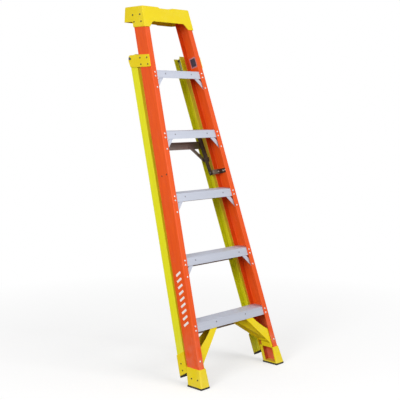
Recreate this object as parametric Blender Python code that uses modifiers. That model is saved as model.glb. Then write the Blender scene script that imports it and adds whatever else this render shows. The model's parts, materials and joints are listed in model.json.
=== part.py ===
"""Fibreglass leaning stepladder, folded flat with its front rails at their working lean.

Metres, +Z up, steps facing -Y, origin on the floor under the middle of the object's box.
The front rails lean back by LEAN and close in towards the top. The rear section nests behind
them and swings out about the pivot bolts near its top, held apart by folding spreaders.
"""

from math import asin, atan2, cos, pi, radians, sin, tan

import bmesh
import bpy
from mathutils import Matrix, Vector

# Stance
LEAN = radians(17.0)  # front rails from the vertical
REAR_NEST = radians(0.5)  # the folded rear rails lie this much flatter than the front ones
REAR_OPEN_LEAN = radians(13.5)  # rear rails from the vertical once the ladder is open
BASE_HALF_WIDTH = 0.298  # outer face of the front rails from the centre, at the floor
TAPER = 0.0743  # loss of half width per metre of height

# Fits
FIT = 0.0003  # between pieces fastened together
RUNNING = 0.0006  # between pieces that move past each other

# Front rails
RAIL_DEPTH = 0.082
RAIL_FLANGE = 0.032
RAIL_WALL = 0.004
RAIL_FILLET = 0.0025  # inside corners, which the ends of steps and bars stop short of
RAIL_END_IN_CAP = 0.012  # below the cap's top

# Steps
STEP_COUNT = 5
STEP_PITCH = 0.3048
FIRST_STEP = 0.295
STEP_WALL = 0.002
FRONT_SKIRT = 0.0377
REAR_SKIRT = 0.030
SKIRT_LIP = 0.009
RIB_COUNT = 9
RIB_HEIGHT = 0.0011
BRACE_RIVET_IN = 0.093  # skirt rivet of a step brace, from the rail's outer face
BRACE_BEND = (0.066, 0.031)  # its bend: from the rail's outer face, and below the tread
BRACE_DROP = 0.086  # flange rivet of a step brace, below the tread
BRACE_WIDTH = 0.021
BRACE_THICK = 0.0025

# Front feet
FOOT_HEIGHT = 0.090
FOOT_WALL = 0.004
FOOT_MARGIN = 0.016  # boot inside the rail's flanges, at the floor
FOOT_FLARE = 0.007  # extra thickness of the outer wall at the floor
SOLE = 0.009
SOLE_GROOVES = 5
WINDOW_SILL = 0.0015  # above the boot's floor
WINDOW_HEAD = 0.003  # below the boot's top
WINDOW_FRONT = 0.003  # depths of its front and back edges behind the rails' front face
WINDOW_BACK = 0.067
STRUT_WALL = 0.0032
STRUT_RECESS = 0.006  # depth of the channel under the strut, between its two lips
STRUT_FRONT_REACH = 0.106  # where the strut's lower front edge meets the skirt, from the centre
STRUT_BACK_REACH = 0.036
STRUT_WIDTH = 0.050
STRUT_ABOVE_BOOT = 0.020  # where the strut's lower edge meets its inner wall
STRUT_ROOT = 0.073  # of the strut along the rail, above that
STRUT_SAG = 0.006
STRUT_IN_BOOT = 0.010
STRUT_BEHIND_SKIRT = 0.018

# Top cap
CAP_TOP = 1.840
CAP_DIP = 0.006
CAP_DIP_HALF = 0.044
CAP_SKIRT_DEEP = 0.078  # front band, below the cap's top
CAP_CHEEK_DEEP = 0.107  # sides over the rails
CAP_OVERHANG = 0.041709  # back wall behind the rails, at the cap's top
CAP_WALL = 0.0042
CAP_REAR_WALL = 0.0065
CAP_ARCH_HALF = 0.110
CAP_NOTCH_HALF = 0.062
CAP_NOTCH_DEPTH = 0.030
PAD_THICK = 0.0035
PAD_PROUD = 0.0010
PAD_INNER = 0.082
PAD_OUTER = 0.142
PAD_DROP = 0.066  # lower edge of a wall pad, below the cap's top
PAD_TALL = 0.050

# Rear section
REAR_DEPTH = 0.048
REAR_FLANGE = 0.034
REAR_WALL = 0.0038
REAR_INSET = 0.0016  # web behind the hinge plate, as thick as the washer between them
REAR_TOP = 0.012  # rail above the pivot
PIVOT_HEIGHT = 1.575
REAR_GAP = 0.0245  # between the folded rear rails and the front ones
PIVOT_INSET = 0.0108  # ahead of the back of the rear rails
REAR_BAR_HEIGHTS = (0.200, 0.520, 0.842)
BAR_ABOVE_PIN = 0.054  # the highest bar, above the spreaders' rear pins
REAR_BAR = 0.038
REAR_BAR_LIP = 0.012
REAR_BAR_WALL = 0.0022
REAR_BRACE_DROP = 0.062
REAR_BRACE_REACH = 0.082
REAR_BRACE_WIDTH = 0.020
REAR_FOOT = 0.108
REAR_FOOT_WALL = 0.0022
REAR_SOLE = 0.008

# Hinge
PLATE_THICK = 0.004
PLATE_ABOVE = 0.018  # the pivot
PLATE_BELOW = 0.044
PLATE_LOBE = 0.0125
BOLT = 0.0032
BOLT_HEAD = 0.0070
BOLT_HOLE = 0.0040
NUT = 0.0064
NUT_THICK = 0.0050
STRAP_LENGTH = 0.078
STRAP_WIDTH = 0.014
STRAP_THICK = 0.0025

# Spreaders
SPREADER_STEP = 3
SPREADER_ABOVE_STEP = 0.0774  # front pins, above that step
PIN_BEHIND_RAIL = 0.003
REAR_PIN_RISE = 0.068  # folded rear pins, above the front ones
REAR_PIN_AHEAD = 0.0545  # ahead of the back of the rear rails
LINK_WIDTH = 0.022
LINK_THICK = 0.0030
LINK_GAP = 0.0032  # between the two links' planes, room for the rear pin's head
JOG_SHIFT = 0.0012  # offset of the inner face's bends, which keeps the strap's thickness
BRACKET_TALL = 0.024
JOG_START = 0.032  # bends of the front bracket, ahead of the back of the front rails
JOG_END = 0.011
PIN = 0.0032
PIN_HOLE = 0.0039
PIN_HEAD = 0.0062

SWING = LEAN + REAR_NEST + REAR_OPEN_LEAN
SIDES = (("left", -1), ("right", 1))


# Places. Slope frame: x across, w back from the rails' front face, s up along the rails.
def up_slope(z, w=0.0):
    """Distance along the rails at which height z is reached at depth w."""
    return (z + w * sin(LEAN)) / cos(LEAN)


def outer_x(s):
    """Outer face of a front rail at distance s along it."""
    return BASE_HALF_WIDTH - TAPER * cos(LEAN) * s


def outer_at(z, w=0.0):
    return outer_x(up_slope(z, w))


def level_y(z, w=0.0):
    """Upright frame's y of the plane w behind the rails' front face, at height z."""
    return z * tan(LEAN) + w / cos(LEAN)


def depth_at(y, z):
    return (y - z * tan(LEAN)) * cos(LEAN)


def outer_at_level(y, z):
    """Outer face of a front rail's plane at a point of the upright frame."""
    return outer_at(z, depth_at(y, z))


def step_height(number):
    return FIRST_STEP + STEP_PITCH * (number - 1)


# Shapes
def arc(centre, radius, start, end, steps):
    return [
        Vector((centre[0] + radius * cos(start + (end - start) * i / steps),
                centre[1] + radius * sin(start + (end - start) * i / steps)))
        for i in range(steps + 1)
    ]


def rounded(points, radius, steps=3):
    """A closed outline with its corners rounded; radius is one value or one for each corner."""
    radii = [radius] * len(points) if isinstance(radius, float) else radius
    outline = []
    for i, corner in enumerate(points):
        corner = Vector(corner)
        back = (Vector(points[i - 1]) - corner)
        ahead = (Vector(points[(i + 1) % len(points)]) - corner)
        room = min(back.length, ahead.length) * 0.49
        half = back.angle(ahead) / 2
        if radii[i] == 0:
            outline.append(corner)
            continue
        reach = min(radii[i] / tan(half), room)
        back.normalize()
        ahead.normalize()
        centre = corner + (back + ahead).normalized() * reach / cos(half)
        spoke = corner + back * reach - centre
        turn = (pi - 2 * half) * (1 if back.cross(ahead) < 0 else -1)
        for step in range(steps + 1):
            outline.append(centre + Matrix.Rotation(turn * step / steps, 2) @ spoke)
    return outline


def ribbon(path, radius, steps=6):
    """A strip with round ends along a path of points of a plane, mitred where it bends."""
    path = [Vector(point) for point in path]
    headings = [atan2(end.y - start.y, end.x - start.x) for start, end in zip(path, path[1:])]

    def mitres(side):
        for corner, before, after in zip(path[1:-1], headings, headings[1:]):
            middle = (before + after) / 2 + side * pi / 2
            yield corner + Vector((cos(middle), sin(middle))) * radius / cos((after - before) / 2)

    return (arc(path[-1], radius, headings[-1] - pi / 2, headings[-1] + pi / 2, steps)
            + list(reversed(list(mitres(1))))
            + arc(path[0], radius, headings[0] + pi / 2, headings[0] + 3 * pi / 2, steps)
            + list(mitres(-1)))


def loft(first, last):
    """A solid between two outlines of as many points each."""
    bm = bmesh.new()
    rings = [[bm.verts.new(point) for point in outline] for outline in (first, last)]
    for ring in rings:
        bm.faces.new(ring)
    for i in range(len(first)):
        bm.faces.new((rings[0][i - 1], rings[0][i], rings[1][i], rings[1][i - 1]))
    bmesh.ops.recalc_face_normals(bm, faces=bm.faces)
    return bm


def across(outline, end_x):
    """A section of (y, z) points run along x between the rails; end_x gives where each point ends."""
    ends = [(end_x(y, z), y, z) for y, z in outline]
    starts = [(-x, y, z) for x, y, z in ends]
    return loft(starts, ends)


def extruded(points, travel):
    """A solid made by extruding the face of these points."""
    bm = bmesh.new()
    base = bm.faces.new([bm.verts.new(point) for point in points])
    grown = bmesh.ops.extrude_face_region(bm, geom=[base])["geom"]
    moved = [piece for piece in grown if isinstance(piece, bmesh.types.BMVert)]
    bmesh.ops.translate(bm, verts=moved, vec=travel)
    bmesh.ops.recalc_face_normals(bm, faces=bm.faces)
    return bm


def along_x(outline, first_x, last_x, side=1):
    """A solid with (y, z) outline between two places along x, on one side."""
    return extruded([(side * first_x, y, z) for y, z in outline], (side * (last_x - first_x), 0, 0))


def along_y(outline, first_y, last_y, side=1):
    """A solid with (x, z) outline between two depths, on one side."""
    return extruded([(side * x, first_y, z) for x, z in outline], (0, last_y - first_y, 0))


def cylinder_x(radius, first_x, last_x, centre=(0.0, 0.0), sides=16, side=1):
    bm = bmesh.new()
    place = (Matrix.Translation((side * (first_x + last_x) / 2, *centre))
             @ Matrix.Rotation(pi / 2, 4, "Y"))
    bmesh.ops.create_cone(bm, cap_ends=True, segments=sides, radius1=radius, radius2=radius,
                          depth=last_x - first_x, matrix=place)
    return bm


# Objects
def collection(name, hidden=False):
    made = bpy.data.collections.new(name)
    bpy.context.scene.collection.children.link(made)
    made.hide_render = hidden
    return made


def empty(name, parent, place, lean=0.0):
    made = bpy.data.objects.new(name, None)
    made.empty_display_size = 0.05
    made.location = place
    made.rotation_euler.x = lean
    made.parent = parent
    PARTS.objects.link(made)
    return made


def to_mesh(name, bm, origin):
    bmesh.ops.translate(bm, verts=bm.verts, vec=-Vector(origin))
    mesh = bpy.data.meshes.new(name)
    bm.to_mesh(mesh)
    bm.free()
    return mesh


def part(name, bm, finish, parent, origin=(0, 0, 0), smooth=35):
    """An object whose mesh is given in its parent's frame, with its own origin there."""
    mesh = to_mesh(name, bm, origin)
    mesh.materials.append(finish)
    mesh.shade_smooth()
    mesh.set_sharp_from_angle(angle=radians(smooth))
    made = bpy.data.objects.new(name, mesh)
    made.location = origin
    made.parent = parent
    PARTS.objects.link(made)
    return made


def shape_with(body, bm, operation):
    """Cuts a shape out of a part, or joins it on; the shape is in the part's parent's frame."""
    mesh = to_mesh(body.name + "_shape", bm, (0, 0, 0))
    tool = bpy.data.objects.new(mesh.name, mesh)
    tool.parent = body.parent
    tool.display_type = "WIRE"
    tool.hide_render = True
    CUTTERS.objects.link(tool)
    modifier = body.modifiers.new(operation.lower(), "BOOLEAN")
    modifier.operation = operation
    modifier.object = tool
    modifier.solver = "EXACT"


def cut(body, *shapes):
    for shape in shapes:
        shape_with(body, shape, "DIFFERENCE")


def join(body, *shapes):
    for shape in shapes:
        shape_with(body, shape, "UNION")


def soften(body, width, segments=1, angle=40):
    modifier = body.modifiers.new("soft_edges", "BEVEL")
    modifier.width = width
    modifier.segments = segments
    modifier.limit_method = "ANGLE"
    modifier.angle_limit = radians(angle)


def finish(name, colour, roughness, metallic=0.0):
    made = bpy.data.materials.new(name)
    made.use_nodes = True
    shader = made.node_tree.nodes["Principled BSDF"]
    shader.inputs["Base Color"].default_value = (*colour, 1.0)
    shader.inputs["Roughness"].default_value = roughness
    shader.inputs["Metallic"].default_value = metallic
    made.diffuse_color = (*colour, 1.0)
    return made


# Front section
def channel_section(depth, flange, wall):
    """A channel as (inward, back) points, its web at inward 0."""
    points = [(0, 0), (0, depth), (flange, depth), (flange, depth - wall),
              (wall, depth - wall), (wall, wall), (flange, wall), (flange, 0)]
    outer, tip, inner = 0.003, 0.0012, RAIL_FILLET
    return rounded(points, [outer, outer, tip, tip, inner, inner, tip, tip], 2)


def front_rail(name, side):
    section = channel_section(RAIL_DEPTH, RAIL_FLANGE, RAIL_WALL)

    def ring(z):
        return [(side * (outer_at(z, w) - inward), w, up_slope(z, w)) for inward, w in section]

    bottom, top = SOLE + FOOT_WALL + FIT, CAP_TOP - RAIL_END_IN_CAP
    rail = loft(ring(bottom), ring(top))
    part(f"front_rail_{name}", rail, GLASS_ORANGE, FRONT, (side * outer_at(bottom), 0, up_slope(bottom)))


def step_section():
    """The step as (y, z) points from its front top edge, skirts parallel to the rails."""
    back = (RAIL_DEPTH - 2 * RAIL_WALL - 2 * FIT) / cos(LEAN)
    wall = STEP_WALL / cos(LEAN)

    def lean(y, drop):
        return (y - drop * tan(LEAN), -drop)

    low = REAR_SKIRT - STEP_WALL
    outline = [lean(0, 0), lean(0, FRONT_SKIRT), lean(wall, FRONT_SKIRT), lean(wall, STEP_WALL),
               lean(back - wall, STEP_WALL), lean(back - wall, low),
               lean(back - SKIRT_LIP, low), lean(back - SKIRT_LIP, REAR_SKIRT),
               lean(back, REAR_SKIRT), lean(back, 0)]
    pitch = back / RIB_COUNT
    for rib in reversed(range(RIB_COUNT)):
        crest = (rib + 0.5) * pitch
        for offset, height in ((0.34, 0), (0.22, RIB_HEIGHT), (-0.22, RIB_HEIGHT), (-0.34, 0)):
            outline.append((crest + offset * pitch, height))
    return outline


def step(number):
    height = step_height(number) - RIB_HEIGHT
    front = level_y(height, RAIL_WALL + FIT)
    outline = [(front + y, height + z) for y, z in step_section()]

    def end(y, z):
        return outer_at_level(y, z) - RAIL_WALL - RAIL_FILLET

    part(f"step_{number}", across(outline, end), ALUMINIUM, LADDER, (0, front, height))


def step_brace(number, name, side):
    """A pressed strap from behind the front skirt down to the rail's front flange."""
    tread = step_height(number)
    low = tread - BRACE_DROP
    low_x = outer_at(low) - RAIL_FLANGE * 0.62
    outline = ribbon([(outer_at(tread) - BRACE_RIVET_IN, tread - 0.018),
                      (outer_at(tread) - BRACE_BEND[0], tread - BRACE_BEND[1]), (low_x, low)],
                     BRACE_WIDTH / 2, 5)
    plane = RAIL_WALL + 2 * FIT + STEP_WALL + FIT

    def plate(points, first, last):
        return loft([(side * x, first, up_slope(z, plane)) for x, z in points],
                    [(side * x, last, up_slope(z, plane)) for x, z in points])

    strap = part(f"step_brace_{number}_{name}", plate(outline, plane, plane + BRACE_THICK),
                 ALUMINIUM, FRONT, (side * low_x, plane, up_slope(low, plane)))
    pad = arc((low_x, low), 0.007, 0, 2 * pi * 11 / 12, 11)
    join(strap, plate(pad, RAIL_WALL + FIT, plane + BRACE_THICK / 2))


def foot_ring(z, inner, grow, front, back):
    """A level rectangle round the foot of a rail: inner x, outer face grown, depths w."""
    corners = [(inner, front), (outer_at(z, front) + grow, front),
               (outer_at(z, back) + grow, back), (inner, back)]
    return [(x, level_y(z, w), z) for x, w in corners]


def rounded_ring(ring, radius):
    z = ring[0][2]
    return [(p.x, p.y, z) for p in rounded([corner[:2] for corner in ring], radius, 3)]


def sided(ring, side):
    return [(side * x, y, z) for x, y, z in ring]


def strut_edge(w):
    """Point where the strut's lower edge crosses the skirt's level, its direction and its normal."""
    share = (w - STRUT_NEAR) / (STRUT_FAR - STRUT_NEAR)
    reach = STRUT_FRONT_REACH + (STRUT_BACK_REACH - STRUT_FRONT_REACH) * share
    start = Vector((reach, step_height(1) - FRONT_SKIRT))
    down = (Vector((FOOT_INNER_X, STRUT_FOOT)) - start).normalized()
    return start, down, Vector((-down.y, down.x))


def on_edge(start, down, x=None, z=None):
    """The point of a line at a given x or at a given height."""
    reach = (x - start.x) / down.x if z is None else (z - start.y) / down.y
    return start + down * reach


def strut_outline(w):
    """The strut's outline on the plane w: a straight lower edge and a hollow upper one."""
    start, down, _ = strut_edge(w)
    inside = outer_at(STRUT_TOP, w) - RAIL_WALL - 0.008
    toe = on_edge(start, down, z=STRUT_TOP)
    high = Vector((toe.x + STRUT_WIDTH, STRUT_TOP))
    low = Vector((FOOT_INNER_X, STRUT_FOOT + STRUT_ROOT))
    sag = Vector((-down.y, down.x)) * -4 * STRUT_SAG
    upper = [low.lerp(high, i / 5) + sag * (i / 5) * (1 - i / 5) for i in range(6)]
    points = [toe, Vector((FOOT_INNER_X, STRUT_FOOT)), Vector((FOOT_INNER_X, STRUT_HEEL)),
              Vector((inside, STRUT_HEEL)), Vector((inside, low.y - 0.014)), *upper]
    return [(p.x, level_y(p.y, w), p.y) for p in points]


def strut_hollow(w):
    """The space inside the strut on the plane w, open along its upper side and over the boot."""
    start, down, normal = strut_edge(w)
    start = start + normal * (STRUT_RECESS + STRUT_WALL)
    inner = FOOT_INNER_X + FOOT_WALL
    high = STRUT_TOP + 0.03
    far_x = outer_at(high, w) - RAIL_WALL
    points = [on_edge(start, down, z=high), on_edge(start, down, x=inner),
              Vector((inner, STRUT_HEEL - 0.004)), Vector((far_x, STRUT_HEEL - 0.004)),
              Vector((far_x, high))]
    return [(p.x, level_y(p.y, w), p.y) for p in points]


def strut_recess(w):
    """The channel along the strut's lower edge on the plane w, between its lips."""
    start, down, normal = strut_edge(w)
    top, bottom = on_edge(start, down, z=STRUT_TOP - 0.005), on_edge(start, down, x=FOOT_INNER_X - 0.014)
    outside, floor = normal * -0.02, normal * STRUT_RECESS
    points = [top + outside, bottom + outside, bottom + floor, top + floor]
    return [(p.x, level_y(p.y, w), p.y) for p in points]


def front_foot(name, side):
    """Moulded boot round the end of the rail, with the strut that runs up to the first step."""
    shell = (-FIT - FOOT_WALL, RAIL_DEPTH + FIT + FOOT_WALL)
    rings = [rounded_ring(foot_ring(z, FOOT_INNER_X, FIT + grow, *shell), 0.006)
             for z, grow in ((SOLE, FOOT_WALL + FOOT_FLARE), (FOOT_HEIGHT, FOOT_WALL))]
    foot = part(f"front_foot_{name}", loft(*[sided(ring, side) for ring in rings]),
                MOULDED_YELLOW, LADDER, (side * FOOT_INNER_X, level_y(SOLE), SOLE))
    join(foot, loft(*[sided(strut_outline(w), side) for w in (STRUT_NEAR, STRUT_FAR)]))

    inner = FOOT_INNER_X + FOOT_WALL
    cavity = [foot_ring(z, inner, FIT, -FIT, RAIL_DEPTH + FIT)
              for z in (SOLE + FOOT_WALL, FOOT_HEIGHT + 0.002)]
    sill, head = SOLE + FOOT_WALL + WINDOW_SILL, FOOT_HEIGHT - WINDOW_HEAD
    window = [(level_y(z, w), z) for z, w in (
        (sill, WINDOW_FRONT), (sill, WINDOW_BACK), (head, WINDOW_BACK), (head, WINDOW_FRONT))]
    inside = (STRUT_NEAR + STRUT_WALL, STRUT_FAR - STRUT_WALL)
    cut(foot,
        loft(*[sided(strut_hollow(w), side) for w in inside]),
        loft(*[sided(strut_recess(w), side) for w in inside]),
        loft(*[sided(ring, side) for ring in cavity]),
        along_x(rounded(window, 0.005, 3), FOOT_INNER_X - 0.01, inner + 0.004, side))


def front_sole(name, side):
    """Rubber tread under the boot, grooved across."""
    inset = 0.0008
    front = level_y(SOLE, -FIT - FOOT_WALL) + inset
    back = level_y(SOLE, RAIL_DEPTH + FIT + FOOT_WALL) - inset
    outline = [(front, 0), (front, SOLE - FIT), (back, SOLE - FIT), (back, 0)]
    pitch = (back - front) / (SOLE_GROOVES + 1)
    for groove in reversed(range(SOLE_GROOVES)):
        middle = front + pitch * (groove + 1)
        outline += [(middle + 0.0022, 0), (middle + 0.0014, 0.003),
                    (middle - 0.0014, 0.003), (middle - 0.0022, 0)]
    outer = outer_at(SOLE) + FIT + FOOT_WALL + FOOT_FLARE - inset
    part(f"front_sole_{name}", along_x(outline, FOOT_INNER_X + inset, outer, side),
         BLACK_RUBBER, LADDER, (side * FOOT_INNER_X, front, 0))


# Top cap
def cap_face(plane):
    """The cap seen from the front: arched below, dipped above. plane gives y for a height."""
    def side_x(z):
        return outer_at_level(plane(z), z) + FIT + CAP_WALL

    half = [(CAP_ARCH_HALF, CAP_SKIRT, 0.014), (outer_at(CAP_CHEEK) - RAIL_FLANGE, CAP_CHEEK, 0.008),
            (side_x(CAP_CHEEK), CAP_CHEEK, 0.003), (side_x(CAP_TOP), CAP_TOP, 0.007),
            (CAP_DIP_HALF + 0.008, CAP_TOP, 0.008), (CAP_DIP_HALF, CAP_TOP - CAP_DIP, 0.008)]
    points = half + [(-x, z, radius) for x, z, radius in reversed(half)]
    outline = rounded([point[:2] for point in points], [point[2] for point in points], 3)
    return [(p.x, plane(p.y), p.y) for p in outline]


def cap_hollow(z):
    """The inside of the cap's walls at one height, round the notch in its back wall."""
    def side_x(y):
        return outer_at_level(y, z) + FIT

    front, back = level_y(z, -FIT), CAP_BACK - CAP_REAR_WALL
    radius, centre = notch_circle()
    radius += CAP_REAR_WALL
    half = asin(min(1.0, (centre - back) / radius))
    points = [(side_x(front), front), (side_x(back), back)]
    points += [tuple(p) for p in arc((0, centre), radius, -half, half - pi, 10)]
    points += [(-side_x(back), back), (-side_x(front), front)]
    return [(x, y, z) for x, y in points]


def notch_circle():
    """Radius and centre of the arc that leaves the notch's width and depth."""
    radius = (CAP_NOTCH_HALF ** 2 + CAP_NOTCH_DEPTH ** 2) / (2 * CAP_NOTCH_DEPTH)
    return radius, CAP_BACK - CAP_NOTCH_DEPTH + radius


def pad_box(grow, front, back):
    """A wall pad's outline from behind, grown by the pocket's clearance, between two depths."""
    outline = rounded([(PAD_INNER - grow, PAD_LOW - grow), (PAD_OUTER + grow, PAD_LOW - grow),
                       (PAD_OUTER + grow, PAD_HIGH + grow), (PAD_INNER - grow, PAD_HIGH + grow)], 0.006, 3)
    return outline, front, back


def top_cap():
    cap = part("top_cap",
               loft(cap_face(lambda z: level_y(z, -FIT - CAP_WALL)), cap_face(lambda z: CAP_BACK)),
               MOULDED_YELLOW, LADDER, (0, level_y(CAP_TOP), CAP_TOP))
    soften(cap, 0.0025, 2, 50)
    low = CAP_CHEEK - 0.03
    behind = [(level_y(z, RAIL_DEPTH + FIT), z) for z in (low, CAP_SKIRT)]
    behind += [(CAP_BACK + 0.02, CAP_SKIRT), (CAP_BACK + 0.02, low)]
    radius, centre = notch_circle()
    notch = arc((0, centre), radius, -pi, 0, 24)
    cut(cap,
        along_x(behind, -BASE_HALF_WIDTH, BASE_HALF_WIDTH),
        loft(cap_hollow(low), cap_hollow(CAP_TOP - CAP_DIP - CAP_WALL)),
        loft([(p.x, p.y, low) for p in notch], [(p.x, p.y, CAP_TOP + 0.02) for p in notch]))
    pocket = CAP_BACK + PAD_PROUD - PAD_THICK - FIT
    for _, side in SIDES:
        outline, front, back = pad_box(FIT, pocket, CAP_BACK + 0.01)
        cut(cap, along_y(outline, front, back, side))


def wall_pad(name, side):
    outline, front, back = pad_box(0.0, CAP_BACK + PAD_PROUD - PAD_THICK, CAP_BACK + PAD_PROUD)
    part(f"wall_pad_{name}", along_y(outline, front, back, side), BLACK_RUBBER, LADDER,
         (side * PAD_INNER, CAP_BACK, PAD_LOW))


# Hinge
def hinge_plate(name, side):
    """Plate riveted to a front rail's web, its rear lobe round the pivot bolt."""
    y, z = PIVOT
    top, bottom = z + PLATE_ABOVE, z - PLATE_BELOW
    outline = rounded([
        (level_y(top, 0.002), top), (level_y(bottom, 0.002), bottom),
        (y - 0.006, bottom), (y + PLATE_LOBE, z - 0.010), (y + PLATE_LOBE, top),
    ], [0.004, 0.005, 0.008, 0.012, PLATE_LOBE], 4)

    def face(out):
        return [(side * (outer_at_level(y, z) + out), y, z) for y, z in outline]

    plate = part(f"hinge_plate_{name}", loft(face(FIT), face(FIT + PLATE_THICK)),
                 MOULDED_YELLOW, LADDER, (side * PIVOT_X, y, z))
    cut(plate, cylinder_x(BOLT_HOLE, PIVOT_X - 0.02, PIVOT_X + 0.02, PIVOT, 20, side))


def pivot_bolt(name, side):
    head = PIVOT_X + PLATE_THICK + 0.0012
    inner = PIVOT_X - REAR_INSET - REAR_WALL - STRAP_THICK - NUT_THICK - 0.0035
    bolt = part(f"pivot_bolt_{name}", cylinder_x(BOLT, inner, head + 0.001, PIVOT, 16, side),
                ZINC_STEEL, LADDER, (side * head, *PIVOT))
    join(bolt, cylinder_x(BOLT_HEAD, head, head + 0.0038, PIVOT, 16, side))


def pivot_nut(name, side):
    outer = PIVOT_X - REAR_INSET - REAR_WALL - STRAP_THICK - 0.0014
    nut = part(f"pivot_nut_{name}", cylinder_x(NUT, outer - NUT_THICK, outer, PIVOT, 6, side),
               ZINC_STEEL, LADDER, (side * outer, *PIVOT))
    cut(nut, cylinder_x(BOLT + 0.0004, outer - NUT_THICK - 0.01, outer + 0.01, PIVOT, 16, side))


# Rear section. Its frame: x across, w back from the pivot, s up along the rear rails.
def rear_x(s):
    """Outer face of a rear rail at distance s above the pivot."""
    return PIVOT_X - REAR_INSET - TAPER * cos(LEAN) * s


def rear_s(height, w=0.0):
    """Distance along a folded rear rail, from the pivot, at which a height is reached."""
    lean = LEAN + REAR_NEST
    return (height - PIVOT_HEIGHT + w * sin(lean)) / cos(lean)


def open_s(height, w):
    """The same for the opened ladder, so that the feet are cut flat to the floor."""
    return (height - PIVOT_HEIGHT - w * sin(REAR_OPEN_LEAN)) / cos(REAR_OPEN_LEAN)


def rear_rail(name, side):
    section = [(inward, REAR_FRONT + w) for inward, w in channel_section(REAR_DEPTH, REAR_FLANGE, REAR_WALL)]

    def ring(s_of):
        return [(side * (rear_x(s_of(w)) - inward), w, s_of(w)) for inward, w in section]

    bottom = REAR_SOLE + REAR_FOOT_WALL + FIT
    rail = part(f"rear_rail_{name}",
                loft(ring(lambda w: open_s(bottom, w)), ring(lambda w: REAR_TOP)),
                GLASS_YELLOW, REAR, (side * rear_x(0), 0, 0))
    cut(rail, cylinder_x(BOLT_HOLE, PIVOT_X - 0.02, PIVOT_X + 0.02, (0, 0), 20, side))


def hinge_strap(name, side):
    """Metal strap that takes the pivot's load down the inside of a rear rail's web."""
    half = STRAP_WIDTH / 2
    outline = ribbon([(-0.002, -STRAP_LENGTH), (-0.002, 0.002)], half, 5)

    def face(inward):
        return [(side * (rear_x(s) - REAR_WALL - inward), w, s) for w, s in outline]

    strap = part(f"hinge_strap_{name}", loft(face(FIT + STRAP_THICK), face(FIT)),
                 ALUMINIUM, REAR, (side * rear_x(0), 0, 0))
    cut(strap, cylinder_x(BOLT_HOLE, PIVOT_X - 0.03, PIVOT_X + 0.02, (0, 0), 16, side))


def rear_bar(number):
    """Angle-section bar between the rear rails, against their rear flanges."""
    back = PIVOT_INSET - REAR_WALL - FIT
    web = back - REAR_BAR_WALL
    low = rear_s(REAR_BARS[number - 1], back)
    high = low + REAR_BAR
    outline = rounded([(back, low), (back, high), (web - REAR_BAR_LIP, high),
                       (web - REAR_BAR_LIP, high - REAR_BAR_WALL), (web, high - REAR_BAR_WALL), (web, low)],
                      [0.0, 0.0015, 0.0, 0.0, 0.001, 0.0], 2)
    outline = [tuple(p) for p in outline]
    part(f"rear_bar_{number}", across(outline, lambda w, s: rear_x(s) - REAR_WALL - RAIL_FILLET),
         ALUMINIUM, REAR, (0, back, low))


def rear_brace(name, side):
    """Flat diagonal from the spreader's bar down to a rear rail's rear flange."""
    back = PIVOT_INSET - REAR_WALL - FIT
    front = back - REAR_BAR_WALL - FIT
    bar = rear_s(REAR_BARS[-1], back)
    low = Vector((rear_x(bar) - REAR_FLANGE * 0.58, bar - REAR_BRACE_DROP))
    high = Vector((low.x - REAR_BRACE_REACH, bar + REAR_BAR * 0.35))
    strip = along_y(ribbon([high, low], REAR_BRACE_WIDTH / 2, 5), front - REAR_BAR_WALL, front, side)
    brace = part(f"rear_brace_{name}", strip,
                 ALUMINIUM, REAR, (side * low.x, front, low.y))
    pad = arc(low, 0.006, 0, 2 * pi * 11 / 12, 11)
    join(brace, along_y(pad, front - 0.001, back, side))


def rear_foot(name, side):
    """Moulded shoe round the end of a rear rail, open on its inner side."""
    wall = FIT + REAR_FOOT_WALL
    inner = REAR_FLANGE + 0.003

    def ring(height, inward, grow, front, back):
        corners = [(inward, front), (-grow, front), (-grow, back), (inward, back)]
        return [(side * (rear_x(open_s(height, w)) - x), w, open_s(height, w)) for x, w in corners]

    shell = (REAR_FRONT - wall, PIVOT_INSET + wall)
    foot = part(f"rear_foot_{name}",
                loft(ring(REAR_SOLE, inner, wall, *shell), ring(REAR_FOOT, inner, wall, *shell)),
                MOULDED_YELLOW, REAR, (side * rear_x(open_s(REAR_SOLE, 0)), 0, open_s(REAR_SOLE, 0)))
    soften(foot, 0.002, 2, 60)
    inside = (REAR_FRONT - FIT, PIVOT_INSET + FIT)
    cut(foot, loft(ring(REAR_SOLE + REAR_FOOT_WALL, inner + 0.01, FIT, *inside),
                   ring(REAR_FOOT + 0.01, inner + 0.01, FIT, *inside)))


def rear_sole(name, side):
    """Rubber tread, flat on the floor once the rear section is open."""
    inset = 0.0008
    wall = FIT + REAR_FOOT_WALL - inset
    outline = [(w, open_s(height, w)) for w, height in (
        (REAR_FRONT - wall, 0), (REAR_FRONT - wall, REAR_SOLE - FIT),
        (PIVOT_INSET + wall, REAR_SOLE - FIT), (PIVOT_INSET + wall, 0))]
    bottom_x = rear_x(open_s(0, 0))
    part(f"rear_sole_{name}", along_x(outline, bottom_x - REAR_FLANGE - 0.002, bottom_x + wall - 0.001, side),
         BLACK_RUBBER, REAR, (side * bottom_x, 0, open_s(0, 0)))


# Spreaders
def folded_point(w, s):
    """Upright (y, z) of a point of the folded rear section."""
    lean = LEAN + REAR_NEST
    return Vector((PIVOT[0] + w * cos(lean) + s * sin(lean), PIVOT[1] - w * sin(lean) + s * cos(lean)))


def spreader_pins():
    """Upright (y, z) of the front pin, the rear pin and the folded middle pin."""
    front = Vector((level_y(SPREADER_HEIGHT, SPREADER_BACK), SPREADER_HEIGHT))
    rear_w = PIVOT_INSET - REAR_PIN_AHEAD
    rear = folded_point(rear_w, rear_s(REAR_PIN_HEIGHT, rear_w))
    opened = Vector(PIVOT) + Matrix.Rotation(SWING, 2) @ (rear - Vector(PIVOT))
    reach, nested = (opened - front).length, (rear - front).length
    middle = front + (rear - front).normalized() * (reach + nested) / 2
    return front, rear, middle


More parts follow.
